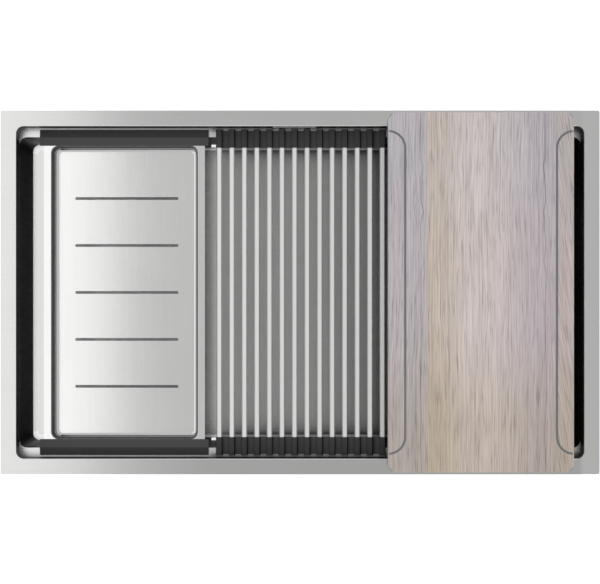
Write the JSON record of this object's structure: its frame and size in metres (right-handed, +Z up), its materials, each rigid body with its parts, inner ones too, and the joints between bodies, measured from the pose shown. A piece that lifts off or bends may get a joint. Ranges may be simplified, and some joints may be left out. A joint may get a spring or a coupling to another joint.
{
  "type": "kitchen sink",
  "caption": "Rectangular workstation kitchen sink whose ledges carry a colander and a roll-up drying rack, with a cutting board on the rim, strainer waste and overflow.",
  "frame": {"origin": "middle of the bowl's opening on the underside of the rim, the plane that rests on the worktop", "axes": "+X along the sink from the colander to the cutting board, +Y from the front to the back, +Z up"},
  "size_m": [0.79, 0.48, 0.32],
  "materials": {
    "rim_steel": "fine satin, brushed along the rim",
    "bowl_steel": "satin",
    "tray_steel": "satin",
    "rack_steel": "fine satin",
    "drain_steel": "polished",
    "cover_steel": "satin",
    "zinc_steel": "zinc plated",
    "runner_plastic": "matt black",
    "sleeve_silicone": "matt black silicone",
    "waste_plastic": "moulded, off-white",
    "seal_rubber": "matt black",
    "pad_rubber": "matt grey",
    "board_wood": "pale limed oak, matt"
  },
  "bodies": {
    "sink": {"rim_plate": "rim_steel", "upper_walls": "bowl_steel", "ledge_frame": "bowl_steel", "bowl_walls": "bowl_steel", "floor_bends": "bowl_steel", "bowl_floor": "bowl_steel", "pad_back": "pad_rubber", "pad_front": "pad_rubber", "pad_left": "pad_rubber", "pad_right": "pad_rubber", "pad_floor": "pad_rubber", "clip_brackets": "bowl_steel", "clip_bolts": "zinc_steel", "clip_arms": "zinc_steel", "clip_nuts": "zinc_steel", "overflow_cover": "cover_steel", "overflow_gasket": "seal_rubber", "overflow_housing": "waste_plastic", "overflow_screws": "cover_steel", "strainer_gasket": "seal_rubber", "waste_gasket": "seal_rubber", "strainer_cup": "drain_steel", "waste_body": "waste_plastic", "clamp_screw": "drain_steel"},
    "basket": {"strainer_basket": "drain_steel", "basket_seal": "seal_rubber", "basket_knob": "drain_steel"},
    "colander": {"colander_tray": "tray_steel", "colander_runner_back": "runner_plastic", "colander_runner_front": "runner_plastic"},
    "board": {"cutting_board": "board_wood"},
    "rack_01": {"rack_bar_01": "rack_steel", "rack_sleeves_01": "sleeve_silicone"},
    "rack_02": {"rack_bar_02": "rack_steel", "rack_sleeves_02": "sleeve_silicone"},
    "rack_03": {"rack_bar_03": "rack_steel", "rack_sleeves_03": "sleeve_silicone"},
    "rack_04": {"rack_bar_04": "rack_steel", "rack_sleeves_04": "sleeve_silicone"},
    "rack_05": {"rack_bar_05": "rack_steel", "rack_sleeves_05": "sleeve_silicone"},
    "rack_06": {"rack_bar_06": "rack_steel", "rack_sleeves_06": "sleeve_silicone"},
    "rack_07": {"rack_bar_07": "rack_steel", "rack_sleeves_07": "sleeve_silicone"},
    "rack_08": {"rack_bar_08": "rack_steel", "rack_sleeves_08": "sleeve_silicone"},
    "rack_09": {"rack_bar_09": "rack_steel", "rack_sleeves_09": "sleeve_silicone"},
    "rack_10": {"rack_bar_10": "rack_steel", "rack_sleeves_10": "sleeve_silicone"},
    "rack_11": {"rack_bar_11": "rack_steel", "rack_sleeves_11": "sleeve_silicone"},
    "rack_12": {"rack_bar_12": "rack_steel", "rack_sleeves_12": "sleeve_silicone"},
    "rack_13": {"rack_bar_13": "rack_steel", "rack_sleeves_13": "sleeve_silicone"},
    "rack_14": {"rack_bar_14": "rack_steel", "rack_sleeves_14": "sleeve_silicone"}
  },
  "joints": [
    {"name": "colander_lift", "type": "slide", "parent": "sink", "child": "colander", "axis": [0, 0, 1], "range_m": [0, 0.2]},
    {"name": "board_lift", "type": "slide", "parent": "sink", "child": "board", "axis": [0, 0, 1], "range_m": [0, 0.15]},
    {"name": "basket_lift", "type": "slide", "parent": "sink", "child": "basket", "axis": [0, 0, 1], "range_m": [0, 0.12]},
    {"name": "rack_slide", "type": "slide", "parent": "sink", "child": "rack_04", "axis": [1, 0, 0], "range_m": [0, 0.12]},
    {"name": "rack_roll", "type": "hinge", "parent": "rack_04", "child": "rack_05", "pos_m": [-0.04895, 0, -0.0347], "axis": [0, -1, 0], "range_deg": [0, 25]},
    {"name": "rack_bend_05_06", "type": "hinge", "parent": "rack_05", "child": "rack_06", "pos_m": [-0.03225, 0, -0.0347], "axis": [0, -1, 0], "range_deg": [0, 25]},
    {"name": "rack_bend_06_07", "type": "hinge", "parent": "rack_06", "child": "rack_07", "pos_m": [-0.01555, 0, -0.0347], "axis": [0, -1, 0], "range_deg": [0, 25]},
    {"name": "rack_bend_07_08", "type": "hinge", "parent": "rack_07", "child": "rack_08", "pos_m": [0.00115, 0, -0.0347], "axis": [0, -1, 0], "range_deg": [0, 25]},
    {"name": "rack_bend_08_09", "type": "hinge", "parent": "rack_08", "child": "rack_09", "pos_m": [0.01785, 0, -0.0347], "axis": [0, -1, 0], "range_deg": [0, 25]},
    {"name": "rack_bend_09_10", "type": "hinge", "parent": "rack_09", "child": "rack_10", "pos_m": [0.03455, 0, -0.0347], "axis": [0, -1, 0], "range_deg": [0, 25]},
    {"name": "rack_bend_10_11", "type": "hinge", "parent": "rack_10", "child": "rack_11", "pos_m": [0.05125, 0, -0.0347], "axis": [0, -1, 0], "range_deg": [0, 25]},
    {"name": "rack_bend_11_12", "type": "hinge", "parent": "rack_11", "child": "rack_12", "pos_m": [0.06795, 0, -0.0347], "axis": [0, -1, 0], "range_deg": [0, 25]},
    {"name": "rack_bend_12_13", "type": "hinge", "parent": "rack_12", "child": "rack_13", "pos_m": [0.08465, 0, -0.0347], "axis": [0, -1, 0], "range_deg": [0, 25]},
    {"name": "rack_bend_13_14", "type": "hinge", "parent": "rack_13", "child": "rack_14", "pos_m": [0.10135, 0, -0.0347], "axis": [0, -1, 0], "range_deg": [0, 25]},
    {"name": "rack_bend_03_04", "type": "hinge", "parent": "rack_04", "child": "rack_03", "pos_m": [-0.06565, 0, -0.0347], "axis": [0, 1, 0], "range_deg": [0, 25]},
    {"name": "rack_bend_02_03", "type": "hinge", "parent": "rack_03", "child": "rack_02", "pos_m": [-0.08235, 0, -0.0347], "axis": [0, 1, 0], "range_deg": [0, 25]},
    {"name": "rack_bend_01_02", "type": "hinge", "parent": "rack_02", "child": "rack_01", "pos_m": [-0.09905, 0, -0.0347], "axis": [0, 1, 0], "range_deg": [0, 25]}
  ],
  "couplings": [
    {"joint": "rack_bend_05_06", "follows": "rack_roll", "ratio": 1},
    {"joint": "rack_bend_06_07", "follows": "rack_roll", "ratio": 1},
    {"joint": "rack_bend_07_08", "follows": "rack_roll", "ratio": 1},
    {"joint": "rack_bend_08_09", "follows": "rack_roll", "ratio": 1},
    {"joint": "rack_bend_09_10", "follows": "rack_roll", "ratio": 1},
    {"joint": "rack_bend_10_11", "follows": "rack_roll", "ratio": 1},
    {"joint": "rack_bend_11_12", "follows": "rack_roll", "ratio": 1},
    {"joint": "rack_bend_12_13", "follows": "rack_roll", "ratio": 1},
    {"joint": "rack_bend_13_14", "follows": "rack_roll", "ratio": 1},
    {"joint": "rack_bend_03_04", "follows": "rack_roll", "ratio": 1},
    {"joint": "rack_bend_02_03", "follows": "rack_roll", "ratio": 1},
    {"joint": "rack_bend_01_02", "follows": "rack_roll", "ratio": 1}
  ]
}
